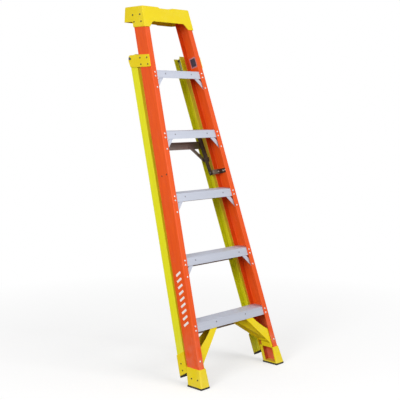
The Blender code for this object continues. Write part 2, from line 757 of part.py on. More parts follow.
def link(name, start, end, first_x, side, parent, origin):
    bar = part(name, along_x(ribbon([start, end], LINK_WIDTH / 2), first_x - LINK_THICK, first_x, side),
               DARK_STEEL, parent, origin)
    for pin in (start, end):
        cut(bar, cylinder_x(PIN_HOLE, first_x - 0.01, first_x + 0.01, pin, 12, side))
    return bar


def rivet(name, centre, inner, outer, side, parent, heads=(True, True)):
    """A pin with domed-flat heads beyond its grip, from inner to outer x."""
    place = (side * inner, *centre)
    body = part(name, cylinder_x(PIN, inner - 0.0010, outer + 0.0010 * heads[1], centre, 12, side),
                ZINC_STEEL, parent, place)
    for wanted, low in zip(heads, (inner - 0.0020, outer)):
        if wanted:
            join(body, cylinder_x(PIN_HEAD, low, low + 0.0020, centre, 12, side))


def bent_bracket(web_x, plane_x, path, low, high, side):
    """A strap fastened flat on a web that jogs over to the links' plane; path holds its depths."""
    start, bend, meet, end = path
    shift = JOG_SHIFT if start > end else -JOG_SHIFT

    def ring(s):
        web = web_x(s)
        return [(side * x, w, s) for x, w in (
            (web, start), (web, bend), (plane_x, meet), (plane_x, end),
            (plane_x - LINK_THICK, end), (plane_x - LINK_THICK, meet + shift),
            (web - LINK_THICK, bend + shift), (web - LINK_THICK, start))]

    return loft(ring(low), ring(high))


def spreader(name, side):
    front, rear, middle = spreader_pins()
    top = middle.y + LINK_WIDTH
    outer = rear_x(rear_s(top)) - REAR_FLANGE - 2 * RUNNING
    inner = outer - LINK_THICK - LINK_GAP
    hip = empty(f"spreader_front_pivot_{name}", LADDER, (0, *front))
    rear_w = PIVOT_INSET - REAR_PIN_AHEAD
    knee_s = rear_s(REAR_PIN_HEIGHT, rear_w)
    knee = empty(f"spreader_rear_pivot_{name}", REAR, (0, rear_w, knee_s), LEAN + REAR_NEST)
    pin = Vector((0, 0))
    link(f"spreader_front_link_{name}", pin, middle - front, inner, side, hip, (side * inner, 0, 0))
    link(f"spreader_rear_link_{name}", pin, middle - rear, outer, side, knee, (side * outer, 0, 0))

    s = up_slope(SPREADER_HEIGHT, SPREADER_BACK)
    plane = inner + RUNNING + LINK_THICK
    bracket = part(f"spreader_front_bracket_{name}",
                   bent_bracket(lambda s: outer_x(s) - RAIL_WALL - FIT, plane,
                                (2 * RAIL_WALL, RAIL_DEPTH - JOG_START, RAIL_DEPTH - JOG_END,
                                 SPREADER_BACK + BRACKET_TALL / 2),
                                s - BRACKET_TALL / 2, s + BRACKET_TALL / 2, side),
                   DARK_STEEL, FRONT, (side * plane, SPREADER_BACK, s))
    cut(bracket, cylinder_x(PIN_HOLE, plane - 0.01, plane + 0.01, (SPREADER_BACK, s), 12, side))
    rivet(f"spreader_front_pin_{name}", (0, 0), inner - LINK_THICK - FIT, plane + FIT, side, hip)
    rivet(f"spreader_middle_pin_{name}", middle - front, inner - LINK_THICK - FIT,
          outer - LINK_THICK - RUNNING, side, hip, (True, False))

    inside_flange = REAR_FRONT + REAR_WALL
    plane = outer + RUNNING + LINK_THICK
    bracket = part(f"spreader_rear_bracket_{name}",
                   bent_bracket(lambda s: rear_x(s) - REAR_WALL - FIT, plane,
                                (PIVOT_INSET - REAR_WALL - RAIL_FILLET - FIT, inside_flange + 0.014,
                                 inside_flange + 0.005, rear_w - BRACKET_TALL / 2),
                                knee_s - BRACKET_TALL / 2, knee_s + BRACKET_TALL / 2, side),
                   DARK_STEEL, REAR, (side * plane, rear_w, knee_s))
    cut(bracket, cylinder_x(PIN_HOLE, plane - 0.01, plane + 0.01, (rear_w, knee_s), 12, side))
    rivet(f"spreader_rear_pin_{name}", (0, 0), outer - LINK_THICK - FIT, plane + FIT, side, knee)


# Scene
for leftover in list(bpy.data.objects):
    bpy.data.objects.remove(leftover, do_unlink=True)
PARTS = collection("leaning_stepladder")
CUTTERS = collection("cutters", hidden=True)

GLASS_ORANGE = finish("glass_orange", (0.80, 0.115, 0.022), 0.42)
GLASS_YELLOW = finish("glass_yellow", (0.74, 0.72, 0.03), 0.42)
MOULDED_YELLOW = finish("moulded_yellow", (0.88, 0.80, 0.02), 0.38)
ALUMINIUM = finish("aluminium", (0.72, 0.74, 0.78), 0.38, 1.0)
ZINC_STEEL = finish("zinc_steel", (0.45, 0.45, 0.46), 0.35, 1.0)
DARK_STEEL = finish("dark_steel", (0.10, 0.08, 0.06), 0.45, 0.6)
BLACK_RUBBER = finish("black_rubber", (0.015, 0.015, 0.015), 0.85)

FOOT_INNER_X = BASE_HALF_WIDTH - RAIL_FLANGE - FOOT_MARGIN
FOOT_FRONT = level_y(SOLE, -FIT - FOOT_WALL)
CAP_SKIRT = CAP_TOP - CAP_SKIRT_DEEP
CAP_CHEEK = CAP_TOP - CAP_CHEEK_DEEP
CAP_BACK = level_y(CAP_TOP, RAIL_DEPTH) + CAP_OVERHANG
PAD_LOW = CAP_TOP - PAD_DROP
PAD_HIGH = PAD_LOW + PAD_TALL
PIVOT_BACK = RAIL_DEPTH + REAR_GAP + REAR_DEPTH - PIVOT_INSET
SPREADER_HEIGHT = step_height(SPREADER_STEP) + SPREADER_ABOVE_STEP
SPREADER_BACK = RAIL_DEPTH + PIN_BEHIND_RAIL
REAR_PIN_HEIGHT = SPREADER_HEIGHT + REAR_PIN_RISE
REAR_BARS = (*REAR_BAR_HEIGHTS, REAR_PIN_HEIGHT + BAR_ABOVE_PIN)
PIVOT = (level_y(PIVOT_HEIGHT, PIVOT_BACK), PIVOT_HEIGHT)
PIVOT_X = outer_at_level(*PIVOT)
REAR_FRONT = PIVOT_INSET - REAR_DEPTH
STRUT_NEAR = RAIL_WALL + STEP_WALL + 3 * FIT
STRUT_FAR = RAIL_DEPTH - RAIL_WALL - 2 * FIT - SKIRT_LIP * cos(LEAN)
STRUT_FOOT = FOOT_HEIGHT + STRUT_ABOVE_BOOT
STRUT_HEEL = FOOT_HEIGHT - STRUT_IN_BOOT
STRUT_TOP = step_height(1) - FRONT_SKIRT + STRUT_BEHIND_SKIRT

LADDER = empty("ladder", None, (0, -(FOOT_FRONT + CAP_BACK + PAD_PROUD) / 2, 0))
FRONT = empty("front_section", LADDER, (0, 0, 0), -LEAN)
REAR = empty("rear_section_pivot", LADDER, (0, *PIVOT), -(LEAN + REAR_NEST))

for number in range(1, STEP_COUNT + 1):
    step(number)
for number in range(1, len(REAR_BARS) + 1):
    rear_bar(number)
top_cap()
for name, side in SIDES:
    front_rail(name, side)
    for number in range(2, STEP_COUNT + 1):
        step_brace(number, name, side)
    for build in (front_foot, front_sole, wall_pad, hinge_plate, pivot_bolt, pivot_nut, rear_rail,
                  hinge_strap, rear_brace, rear_foot, rear_sole, spreader):
        build(name, side)
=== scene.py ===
"""Looks of the leaning stepladder: finishes, rivets and labels on its parts, in a pale studio."""

import json
from math import cos, pi, radians, sin, tan

import bmesh
import bpy
from mathutils import Matrix, Vector


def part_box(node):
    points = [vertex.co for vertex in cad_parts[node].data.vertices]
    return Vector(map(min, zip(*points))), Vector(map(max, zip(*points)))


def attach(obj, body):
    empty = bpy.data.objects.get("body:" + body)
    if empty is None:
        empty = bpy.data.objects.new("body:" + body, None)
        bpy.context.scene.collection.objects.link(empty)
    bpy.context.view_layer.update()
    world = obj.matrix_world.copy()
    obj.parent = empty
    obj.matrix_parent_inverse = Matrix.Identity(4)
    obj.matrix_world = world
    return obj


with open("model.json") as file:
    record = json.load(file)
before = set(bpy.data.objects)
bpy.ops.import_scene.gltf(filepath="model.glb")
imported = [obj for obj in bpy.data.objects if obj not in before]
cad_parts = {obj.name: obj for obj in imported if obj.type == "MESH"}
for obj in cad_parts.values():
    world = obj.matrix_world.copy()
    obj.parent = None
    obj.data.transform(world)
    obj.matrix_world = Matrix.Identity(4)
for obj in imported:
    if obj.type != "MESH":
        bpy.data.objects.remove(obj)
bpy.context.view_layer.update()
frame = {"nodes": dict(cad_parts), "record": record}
NODES = frame["nodes"]
SIDES = (("left", -1), ("right", 1))

# Driving dimensions, in metres
LEAN = radians(17.0)  # front rails from the vertical
REAR_LEAN = radians(17.5)  # folded rear rails from the vertical
RAIL_FLANGE = 0.032
RAIL_DEPTH = 0.082
STEP_COUNT = 5
REAR_BAR_COUNT = 4

# Rivets' heads
HEAD_RADIUS = 0.0046
HEAD_HEIGHT = 0.0019
HEAD_SIDES = 12
RIM_SHARE = 0.45  # of a head's height that its upright rim takes
DOME = ((0.20, 0.32), (0.30, 0.18))  # the rings above the rim: how far each draws in, and its rise
FLAT_ON_TOP = 0.9  # least upward part of the normal of a head's top face
HEAD_SMOOTH = radians(50)  # edges flatter than this are shaded smooth
MIDDLE_HEAD = 0.9  # smaller heads, as shares of the full one
SMALL_HEAD = 0.85
BRACKET_HEAD = 0.8
REACH = 0.03  # how far outside a face a rivet's line starts

# Rivets' places
FLANGE_RIVET_IN = 0.019  # from the rail's outer edge
STEP_RIVET_DROPS = (0.010, 0.030)  # below the tread, here and in the next lines
BRACE_RIVET_DROP = 0.086
SKIRT_RIVET_DROP = 0.0155
STRUT_RIVET_DROP = 0.012
SKIRT_RIVET_IN = 0.093  # from the rail's outer face
STRUT_RIVET_X = 0.1075  # from the ladder's middle
FOOT_RIVET_X, FOOT_RIVET_Z = 0.275, 0.127
BOOT_RIVETS = ((0.043, 0.057), (0.043, 0.016))  # height, and level distance behind the rails' front
SHOE_RIVETS = ((0.095, 0.125), (0.064, 0.122))
CAP_RIVETS = ((1.796, 0.076), (1.796, 0.020), (1.760, 0.074), (1.760, 0.019))
PLATE_RIVETS = ((1.577, 0.072), (1.577, 0.019), (1.544, 0.072), (1.544, 0.019))
SPREADER_RIVETS = ((0.989, 0.051), (1.000, 0.014))
BRACKET_RIVETS = (-0.004, 0.010, 0.024)  # along a spreader's bracket, forward of its middle
BETWEEN_RAILS = 0.12  # from the ladder's middle, inside the brackets
REAR_RIVET_IN = 0.016
REAR_RIVET_SHARES = (0.28, 0.78)  # of a rear bar's height

# Labels: sizes are up the rail and across it, and places are as the rivets' are
FILM_THICK = 0.0003
LABEL_HEIGHT, LABEL_BACK = 1.563, 0.053
BORDER_SIZE, BORDER_CORNER = (0.056, 0.044), 0.003
LABEL_SIZE, LABEL_CORNER = (0.044, 0.034), 0.002
LABEL_CORNER_STEPS = 4
BARS_HEIGHT, BARS_BACK = 0.408, 0.043
BAR_COUNT = 9
BAR_PITCH = 0.0305
BAR_SIZE, BAR_CORNER = (0.0115, 0.036), 0.0015
BAR_CORNER_STEPS = 3
BAR_SLANT = radians(24)

# Camera
CAMERA_PLACE = (-3.089, -3.0496, 1.334)
CAMERA_TURN = (pi / 2 - 0.1101, 0.0, -0.7978)
CAMERA_LENS = 76.5

# Studio
FILL = 0.60  # light from all round; the backdrop itself is white to the camera
LAMP_AIM = (0, 0, 0.9)
LAMPS = (("left_light", (-4.1, -1.1, 2.2), 1.6, 92), ("front_light", (0.9, -4.6, 3.4), 2.4, 125))
FLOOR_SIZE = 60
FLOOR_DROP = 0.0004  # below the soles, so that the two faces don't coincide
FLOOR_SEEN = (0.485, 0.485, 0.485, 1)
FLOOR_GLOW = 0.50
FLOOR_BOUNCE = (0.30, 0.25, 0.20, 1)
FLOOR_FADE = (0.7, 2.4)  # distances over which the floor goes to white


# Places
RAIL_LOW, RAIL_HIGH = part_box("front_rail_right")
TAPER = ((RAIL_HIGH.x - RAIL_LOW.x - RAIL_FLANGE)
         / (RAIL_HIGH.z - RAIL_LOW.z + RAIL_DEPTH * sin(LEAN)))
FRONT_LINE = RAIL_LOW.y - RAIL_LOW.z * tan(LEAN)  # the rails' front faces at the floor
STEP_TOPS = [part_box(f"step_{number}")[1].z for number in range(1, STEP_COUNT + 1)]
FRONTWARD = Vector((0, -cos(LEAN), sin(LEAN)))  # out of the front rails' front faces
REAR_FRONTWARD = Vector((0, -cos(REAR_LEAN), sin(REAR_LEAN)))


def half_width(z):
    """Outer face of a front rail, at a height."""
    return RAIL_HIGH.x - TAPER * (z - RAIL_LOW.z)


def front_y(z, back=0.0):
    """The rails' front face at a height, or the place so far behind it, measured level."""
    return FRONT_LINE + z * tan(LEAN) + back


# Making pieces by operators
def deselect():
    bpy.ops.object.select_all(action="DESELECT")


def activate(*objects):
    deselect()
    for item in objects:
        item.select_set(True)
    bpy.context.view_layer.objects.active = objects[0]


def settle(piece, name):
    """Names a piece and puts its place into its mesh."""
    activate(piece)
    bpy.ops.object.transform_apply(location=True, rotation=True, scale=True)
    piece.name = name
    piece.data.name = name
    return piece


def joined(pieces, name):
    """Several pieces made one."""
    activate(*pieces)
    bpy.ops.object.transform_apply(location=True, rotation=True, scale=True)
    bpy.ops.object.join()
    return settle(bpy.context.object, name)


def copy_to(piece, place):
    twin = piece.copy()
    twin.data = piece.data.copy()
    twin.matrix_world = place
    bpy.context.scene.collection.objects.link(twin)
    return twin


def select_faces(piece, wanted):
    """In edit mode, selects the faces whose normals satisfy a test."""
    bpy.ops.mesh.select_mode(type="FACE")
    bpy.ops.mesh.select_all(action="DESELECT")
    mesh = bmesh.from_edit_mesh(piece.data)
    for face in mesh.faces:
        face.select_set(wanted(face.normal))
    mesh.select_flush(True)
    bmesh.update_edit_mesh(piece.data)


def domed_head(radius, height):
    """A rivet's head on the origin, pointing up."""
    deselect()
    rim = height * RIM_SHARE
    bpy.ops.mesh.primitive_cylinder_add(vertices=HEAD_SIDES, radius=radius, depth=rim,
                                        location=(0, 0, rim / 2))
    head = bpy.context.object
    bpy.ops.object.transform_apply(location=True)
    bpy.ops.object.mode_set(mode="EDIT")
    for inset, rise in DOME:
        select_faces(head, lambda normal: normal.z > FLAT_ON_TOP)
        bpy.ops.mesh.extrude_region_move(TRANSFORM_OT_translate={"value": (0, 0, height * rise)})
        bpy.ops.transform.resize(value=(1 - inset, 1 - inset, 1), center_override=(0, 0, 0))
    bpy.ops.object.mode_set(mode="OBJECT")
    bpy.ops.object.shade_smooth_by_angle(angle=HEAD_SMOOTH)
    return head


def on_surface(node, start, heading):
    """Where a line from start meets a node, as a frame whose Z is the face's normal."""
    found, point, normal, _ = NODES[node].ray_cast(Vector(start), Vector(heading).normalized())
    if not found:
        raise ValueError(f"no face of {node} for a rivet at {tuple(start)}")
    return Matrix.Translation(point) @ normal.to_track_quat("Z", "Y").to_matrix().to_4x4()


def rivets(name, places, body, finish, scale=1.0):
    """One piece that holds a row of domed heads."""
    head = domed_head(HEAD_RADIUS * scale, HEAD_HEIGHT * scale)
    heads = [copy_to(head, place) for place in places]
    bpy.data.objects.remove(head)
    piece = joined(heads, name)
    dress(piece, finish)
    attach(piece, body)


def film(name, size, corner, steps, place):
    """Thin film with round corners, its back on a face; place's Z points away from the face."""
    deselect()
    bpy.ops.mesh.primitive_plane_add(size=1)
    piece = bpy.context.object
    piece.scale = (*size, 1)
    bpy.ops.object.transform_apply(scale=True)
    bpy.ops.object.mode_set(mode="EDIT")
    bpy.ops.mesh.select_all(action="SELECT")
    bpy.ops.mesh.bevel(offset=corner, segments=steps, affect="VERTICES")
    bpy.ops.mesh.select_all(action="SELECT")
    bpy.ops.mesh.extrude_region_move(TRANSFORM_OT_translate={"value": (0, 0, FILM_THICK)})
    bpy.ops.mesh.select_all(action="SELECT")
    bpy.ops.mesh.normals_make_consistent(inside=False)
    bpy.ops.object.mode_set(mode="OBJECT")
    piece.matrix_world = place
    return settle(piece, name)


def stick(piece, finish):
    """Fixes film to a front rail."""
    dress(piece, finish)
    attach(piece, "front_section")


def dress(piece, finish):
    piece.data.materials.clear()
    piece.data.materials.append(finish)


# Node groups
class Tree:
    """Short words for building a node tree."""

    def __init__(self, tree):
        self.tree = tree

    def add(self, kind, settings=None, **inputs):
        node = self.tree.nodes.new(kind)
        for key, value in (settings or {}).items():
            setattr(node, key, value)
        for key, value in inputs.items():
            self.feed(node.inputs[key.replace("_", " ")], value)
        return node

    def feed(self, socket, value):
        if isinstance(value, bpy.types.NodeSocket):
            self.tree.links.new(value, socket)
        else:
            socket.default_value = value

    def maths(self, operation, first, second=0.0):
        node = self.add("ShaderNodeMath", {"operation": operation})
        self.feed(node.inputs[0], first)
        self.feed(node.inputs[1], second)
        return node.outputs[0]

    def spread(self, value, low, high, out_low=0.0, out_high=1.0):
        """A value's run from low to high, made a run from out_low to out_high."""
        node = self.add("ShaderNodeMapRange", {"clamp": True}, Value=value, From_Min=low,
                        From_Max=high, To_Min=out_low, To_Max=out_high)
        return node.outputs["Result"]

    def blend(self, share, first, second):
        """The first colour where the share is 0, the second where it is 1."""
        node = self.add("ShaderNodeMix", {"data_type": "RGBA"})
        self.feed(node.inputs["Factor"], share)
        self.feed(node.inputs["A"], first)
        self.feed(node.inputs["B"], second)
        return node.outputs["Result"]

    def noise(self, vector, scale, detail, roughness):
        node = self.add("ShaderNodeTexNoise", Vector=vector, Scale=scale, Detail=detail,
                        Roughness=roughness)
        return node.outputs["Fac"]

    def place(self):
        """The point's own place, in metres."""
        return self.add("ShaderNodeTexCoord").outputs["Object"]

    def part(self, vector, axis):
        return self.add("ShaderNodeSeparateXYZ", Vector=vector).outputs[axis]

    def use(self, made, **inputs):
        """The outputs of a node group placed in this tree."""
        return self.add("ShaderNodeGroup", {"node_tree": made}, **inputs).outputs


def group(name, inputs, outputs):
    """A new shader group of plain values: itself, its tree, what it is given and what it puts out."""
    made = bpy.data.node_groups.new(name, "ShaderNodeTree")
    for title, value in inputs.items():
        socket = made.interface.new_socket(title, in_out="INPUT", socket_type="NodeSocketFloat")
        socket.default_value = value
    for title in outputs:
        made.interface.new_socket(title, in_out="OUTPUT", socket_type="NodeSocketFloat")
    tree = Tree(made)
    return made, tree, tree.add("NodeGroupInput").outputs, tree.add("NodeGroupOutput").inputs


def streaks_group():
    """Long fine streaks along a leaning rail or across a step, as fibres or extrusion lines leave."""
    made, tree, given, out = group(
        "long_streaks", {"Lean": 0.0, "Across": 900.0, "Along": 3.0, "Stretch X": 0.0},
        ("Streaks", "Broad"))
    turned = tree.add("ShaderNodeVectorRotate", {"rotation_type": "X_AXIS"}, Vector=tree.place(),
                      Angle=given["Lean"])
    parts = tree.add("ShaderNodeSeparateXYZ", Vector=turned.outputs["Vector"]).outputs
    sideways = tree.maths("SUBTRACT", 1.0, given["Stretch X"])

    def scaled(part, share):
        """Fine where the share is 1, stretched where it is 0."""
        fine = tree.maths("MULTIPLY", given["Across"], share)
        rest = tree.maths("MULTIPLY", given["Along"], tree.maths("SUBTRACT", 1.0, share))
        return tree.maths("MULTIPLY", part, tree.maths("ADD", fine, rest))

    vector = tree.add("ShaderNodeCombineXYZ", X=scaled(parts["X"], sideways), Y=scaled(parts["Y"], 1.0),
                      Z=scaled(parts["Z"], given["Stretch X"])).outputs["Vector"]
    tree.feed(out["Streaks"], tree.noise(vector, 1.0, 3.0, 0.6))
    wide = tree.add("ShaderNodeVectorMath", {"operation": "SCALE"}, Vector=vector, Scale=0.12)
    tree.feed(out["Broad"], tree.noise(wide.outputs["Vector"], 1.0, 2.0, 0.5))
    return made


def mottle_group():
    """Slow clouds and a fine grain, for moulded and painted surfaces."""
    made, tree, given, out = group("mottle_and_grain", {"Clouds": 9.0, "Grain": 700.0},
                                   ("Mottle", "Grain"))
    place = tree.place()
    tree.feed(out["Mottle"], tree.noise(place, given["Clouds"], 3.0, 0.55))
    tree.feed(out["Grain"], tree.noise(place, given["Grain"], 2.0, 0.6))
    return made


def scuffs_group():
    """Thin crossing scratches and worn patches; more of them where Amount is high."""
    made, tree, given, out = group("scuffs", {"Amount": 0.4, "Scale": 60.0}, ("Scuffs",))
    place = tree.place()
    lines = []
    for angle, stretch in ((0.4, 9.0), (1.9, 12.0)):
        turned = tree.add("ShaderNodeVectorRotate", {"rotation_type": "EULER_XYZ"}, Vector=place,
                          Rotation=(angle, angle * 0.7, angle * 1.3))
        drawn = tree.add("ShaderNodeVectorMath", {"operation": "MULTIPLY"})
        tree.feed(drawn.inputs[0], turned.outputs["Vector"])
        tree.feed(drawn.inputs[1], (stretch, 1.0, 1.0))
        value = tree.noise(drawn.outputs["Vector"], given["Scale"], 1.0, 0.3)
        ridge = tree.maths("ABSOLUTE", tree.maths("SUBTRACT", value, 0.5))
        lines.append(tree.spread(ridge, 0.0, 0.012, 1.0, 0.0))
    patch = tree.spread(tree.noise(place, 14.0, 3.0, 0.6), 0.48, 0.66)
    worn = tree.maths("MULTIPLY", tree.maths("MAXIMUM", *lines), patch)
    tree.feed(out["Scuffs"], tree.maths("MULTIPLY", worn, given["Amount"]))
    return made


def dust_group():
    """Dust that gathers on level faces that look up, and near the floor."""
    made, tree, given, out = group("dust", {"Level": 0.2, "Floor": 0.3, "Height": 0.15}, ("Dust",))
    up = tree.part(tree.add("ShaderNodeNewGeometry").outputs["Normal"], "Z")
    place = tree.place()
    low = tree.spread(tree.part(place, "Z"), 0.0, given["Height"], given["Floor"], 0.0)
    level = tree.maths("MULTIPLY", tree.spread(up, 0.7, 1.0), given["Level"])
    cloud = tree.spread(tree.noise(place, 22.0, 4.0, 0.6), 0.35, 0.7)
    tree.feed(out["Dust"], tree.maths("MULTIPLY", tree.maths("ADD", level, low), cloud))
    return made


STREAKS, MOTTLE, SCUFFS, DUST = streaks_group(), mottle_group(), scuffs_group(), dust_group()
DUST_COLOUR = (0.62, 0.58, 0.52, 1.0)


# Materials
def new_finish(name, metallic=0.0):
    """A new material, its tree and its Principled shader."""
    made = bpy.data.materials.new(name)
    made.use_nodes = True
    shader = made.node_tree.nodes["Principled BSDF"]
    shader.inputs["Metallic"].default_value = metallic
    return made, Tree(made.node_tree), shader


def bump(tree, shader, height, strength, distance):
    node = tree.add("ShaderNodeBump", Height=height, Strength=strength, Distance=distance)
    tree.feed(shader.inputs["Normal"], node.outputs["Normal"])


def fibreglass(name, colour, deep, lean):
    """Pultruded channel: veil streaks along the rail under a satin resin skin."""
    made, tree, shader = new_finish(name)
    streaks = tree.use(STREAKS, Lean=lean, Across=1100.0, Along=5.0)
    mottle = tree.use(MOTTLE, Clouds=5.0, Grain=1500.0)
    scuffs = tree.use(SCUFFS, Amount=0.35, Scale=35.0)["Scuffs"]
    dust = tree.use(DUST, Level=0.10, Floor=0.30, Height=0.30)["Dust"]
    tone = tree.spread(tree.maths("ADD", streaks["Streaks"], streaks["Broad"]), 0.75, 1.3)
    base = tree.blend(tone, deep, colour)
    base = tree.blend(tree.spread(mottle["Mottle"], 0.4, 0.7, 0.0, 0.25), base, deep)
    pale = [min(1.0, channel * 0.75 + 0.22) for channel in colour[:3]] + [1.0]
    base = tree.blend(scuffs, base, pale)
    tree.feed(shader.inputs["Base Color"], tree.blend(dust, base, DUST_COLOUR))
    tree.feed(shader.inputs["Roughness"], tree.spread(streaks["Streaks"], 0.3, 0.7, 0.34, 0.52))
    shader.inputs["Specular IOR Level"].default_value = 0.28
    bump(tree, shader, tree.maths("ADD", streaks["Streaks"], mottle["Grain"]), 0.25, 0.0002)
    return made


def moulded(name, colour, deep):
    """Injection-moulded plastic with a fine spark-eroded grain."""
    made, tree, shader = new_finish(name)
    mottle = tree.use(MOTTLE, Clouds=12.0, Grain=1800.0)
    scuffs = tree.use(SCUFFS, Amount=0.30, Scale=60.0)["Scuffs"]
    dust = tree.use(DUST, Level=0.06, Floor=0.22, Height=0.09)["Dust"]
    base = tree.blend(tree.spread(mottle["Mottle"], 0.35, 0.75, 0.0, 0.35), colour, deep)
    base = tree.blend(scuffs, base, (1.0, 0.95, 0.55, 1.0))
    tree.feed(shader.inputs["Base Color"], tree.blend(dust, base, DUST_COLOUR))
    tree.feed(shader.inputs["Roughness"], tree.spread(mottle["Mottle"], 0.3, 0.7, 0.34, 0.46))
    shader.inputs["Specular IOR Level"].default_value = 0.25
    shader.inputs["Subsurface Weight"].default_value = 0.06
    shader.inputs["Subsurface Radius"].default_value = (0.004, 0.003, 0.001)
    bump(tree, shader, mottle["Grain"], 0.35, 0.00015)
    return made


def extruded_aluminium(name, colour, deep):
    """Mill-finish aluminium with die lines along the section and worn bright patches."""
    made, tree, shader = new_finish(name, 0.55)
    streaks = tree.use(STREAKS, Lean=0.0, Across=1600.0, Along=4.0, Stretch_X=1.0)
    mottle = tree.use(MOTTLE, Clouds=14.0, Grain=900.0)
    scuffs = tree.use(SCUFFS, Amount=0.5, Scale=45.0)["Scuffs"]
    dust = tree.use(DUST, Level=0.16, Floor=0.0, Height=0.1)["Dust"]
    base = tree.blend(tree.spread(streaks["Streaks"], 0.3, 0.7), deep, colour)
    base = tree.blend(tree.spread(mottle["Mottle"], 0.45, 0.7, 0.0, 0.3), base, deep)
    base = tree.blend(scuffs, base, (0.95, 0.95, 0.97, 1.0))
    tree.feed(shader.inputs["Base Color"], tree.blend(dust, base, DUST_COLOUR))
    tree.feed(shader.inputs["Roughness"], tree.spread(streaks["Broad"], 0.3, 0.7, 0.36, 0.54))
    bump(tree, shader, streaks["Streaks"], 0.3, 0.00012)
    return made


def plated_steel(name, colour, deep, metallic, smooth, rough):
    """Plated strip or wire with faint stains."""
    made, tree, shader = new_finish(name, metallic)
    mottle = tree.use(MOTTLE, Clouds=60.0, Grain=1200.0)
    scuffs = tree.use(SCUFFS, Amount=0.4, Scale=120.0)["Scuffs"]
    base = tree.blend(tree.spread(mottle["Mottle"], 0.35, 0.7), colour, deep)
    pale = [min(1.0, channel + 0.3) for channel in colour[:3]] + [1.0]
    tree.feed(shader.inputs["Base Color"], tree.blend(scuffs, base, pale))
    tree.feed(shader.inputs["Roughness"], tree.spread(mottle["Mottle"], 0.3, 0.7, smooth, rough))
    bump(tree, shader, mottle["Grain"], 0.2, 0.0001)
    return made


def rubber(name):
    """Dull black tread rubber, greyed by dust near the floor."""
    made, tree, shader = new_finish(name)
    mottle = tree.use(MOTTLE, Clouds=80.0, Grain=1500.0)
    dust = tree.use(DUST, Level=0.15, Floor=0.35, Height=0.03)["Dust"]
    base = tree.blend(mottle["Mottle"], (0.012, 0.012, 0.013, 1.0), (0.026, 0.025, 0.025, 1.0))
    thin_dust = tree.maths("MULTIPLY", dust, 0.35)
    tree.feed(shader.inputs["Base Color"], tree.blend(thin_dust, base, DUST_COLOUR))
    tree.feed(shader.inputs["Roughness"], tree.spread(mottle["Grain"], 0.3, 0.7, 0.75, 0.95))
    bump(tree, shader, mottle["Grain"], 0.5, 0.0002)
    return made


def printed_film(name, colour, deep):
    """A label's printed film."""
    made, tree, shader = new_finish(name)
    mottle = tree.use(MOTTLE, Clouds=45.0, Grain=900.0)
    base = tree.blend(tree.spread(mottle["Mottle"], 0.35, 0.7), colour, deep)
    tree.feed(shader.inputs["Base Color"], base)
    tree.feed(shader.inputs["Roughness"], tree.spread(mottle["Grain"], 0.3, 0.7, 0.3, 0.42))
    bump(tree, shader, mottle["Grain"], 0.1, 0.0001)
    return made


FINISHES = {
    "fibreglass_orange": fibreglass("fibreglass_orange", (0.92, 0.118, 0.006, 1),
                                    (0.80, 0.080, 0.005, 1), LEAN),
    "fibreglass_yellow": fibreglass("fibreglass_yellow", (0.86, 0.86, 0.012, 1),
                                    (0.78, 0.76, 0.010, 1), REAR_LEAN),
    "moulded_yellow": moulded("moulded_yellow", (0.87, 0.69, 0.006, 1), (0.80, 0.59, 0.005, 1)),
    "aluminium": extruded_aluminium("aluminium", (0.64, 0.68, 0.78, 1), (0.54, 0.57, 0.67, 1)),
    "zinc_steel": plated_steel("zinc_steel", (0.30, 0.29, 0.29, 1), (0.16, 0.15, 0.15, 1),
                               0.8, 0.3, 0.5),
    "dark_steel": plated_steel("dark_steel", (0.105, 0.072, 0.045, 1), (0.055, 0.038, 0.026, 1),
                               0.55, 0.35, 0.6),
    "black_rubber": rubber("black_rubber"),
}
PALE_RIVET = plated_steel("pale_rivet", (0.86, 0.84, 0.82, 1), (0.70, 0.67, 0.65, 1), 0.6, 0.3, 0.5)
# Dark rivet heads: their darkness is painted shade, standing in for the shading round the domes.
DARK_SHADED_RIVET = plated_steel("dark_shaded_rivet", (0.10, 0.085, 0.05, 1), (0.05, 0.04, 0.03, 1),
                          0.6, 0.35, 0.55)
DULL_RIVET = plated_steel("dull_rivet", (0.34, 0.35, 0.40, 1), (0.24, 0.25, 0.29, 1),
                          0.6, 0.35, 0.55)
# Rear bars and braces: aluminium made browner and darker than the steps'. This is painted shade and a
# painted reflection of the orange rails, not the metal's own colour.
REAR_SHADED_ALUMINIUM = extruded_aluminium("rear_bar_painted_shade_aluminium", (0.42, 0.34, 0.31, 1),
                                    (0.30, 0.23, 0.205, 1))
LABEL_SLATE = printed_film("label_slate", (0.060, 0.055, 0.085, 1), (0.040, 0.036, 0.060, 1))
LABEL_BORDER = printed_film("label_border", (0.60, 0.28, 0.30, 1), (0.52, 0.22, 0.24, 1))
WHITE_FILM = printed_film("white_film", (0.92, 0.90, 0.88, 1), (0.84, 0.80, 0.78, 1))

for entry in frame["record"]["subparts"]:
    dress(NODES[entry["node"]], FINISHES[entry["material_slot"]])
# The rear bars and braces take the aluminium with painted shade and painted orange reflection.
for name, node in NODES.items():
    if name.startswith(("rear_bar", "rear_brace")):
        dress(node, REAR_SHADED_ALUMINIUM)


# Rivets of the front section
def in_front_face(node, x, z):
    """A rivet in a face that looks forward, at a place across and a height."""
    return on_surface(node, Vector((x, front_y(z), z)) + FRONTWARD * REACH, -FRONTWARD)


def skirt_places():
    """Two in each front skirt: the struts' on the first step, and the braces' on the others."""
    found = []
    for number, top in enumerate(STEP_TOPS, 1):
        drop = STRUT_RIVET_DROP if number == 1 else SKIRT_RIVET_DROP
        across = STRUT_RIVET_X if number == 1 else half_width(top) - SKIRT_RIVET_IN
        for _, side in SIDES:
            found.append(in_front_face(f"step_{number}", side * across, top - drop))
    return found


